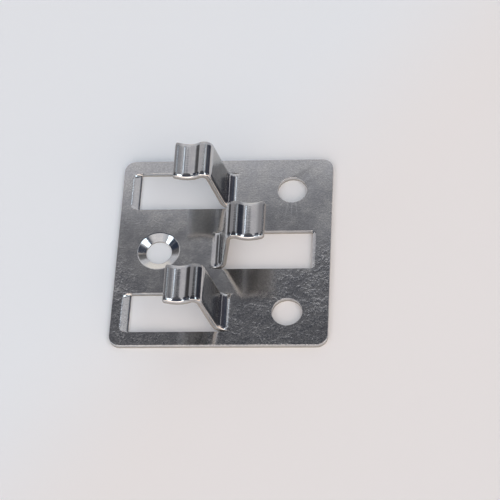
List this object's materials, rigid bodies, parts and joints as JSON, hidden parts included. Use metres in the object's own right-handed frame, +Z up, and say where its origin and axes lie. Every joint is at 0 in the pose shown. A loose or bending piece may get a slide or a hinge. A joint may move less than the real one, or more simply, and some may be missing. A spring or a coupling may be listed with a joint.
{
  "type": "board fixing clip",
  "caption": "Square sheet steel plate with sprung hooks lanced and folded up out of it, screwed down to hold the grooved edges of boards with no visible fixing.",
  "frame": {"origin": "middle of the underside of the plate, on the surface it is screwed to", "axes": "+X the way the middle hook points, +Y across the rows of hooks, +Z up out of the plate"},
  "size_m": [0.038, 0.038, 0.0118],
  "materials": {
    "steel": "bright rolled stainless steel, fine rolling grain, polished sheared edges"
  },
  "bodies": {
    "root": {"clip_plate": "steel"}
  },
  "joints": []
}
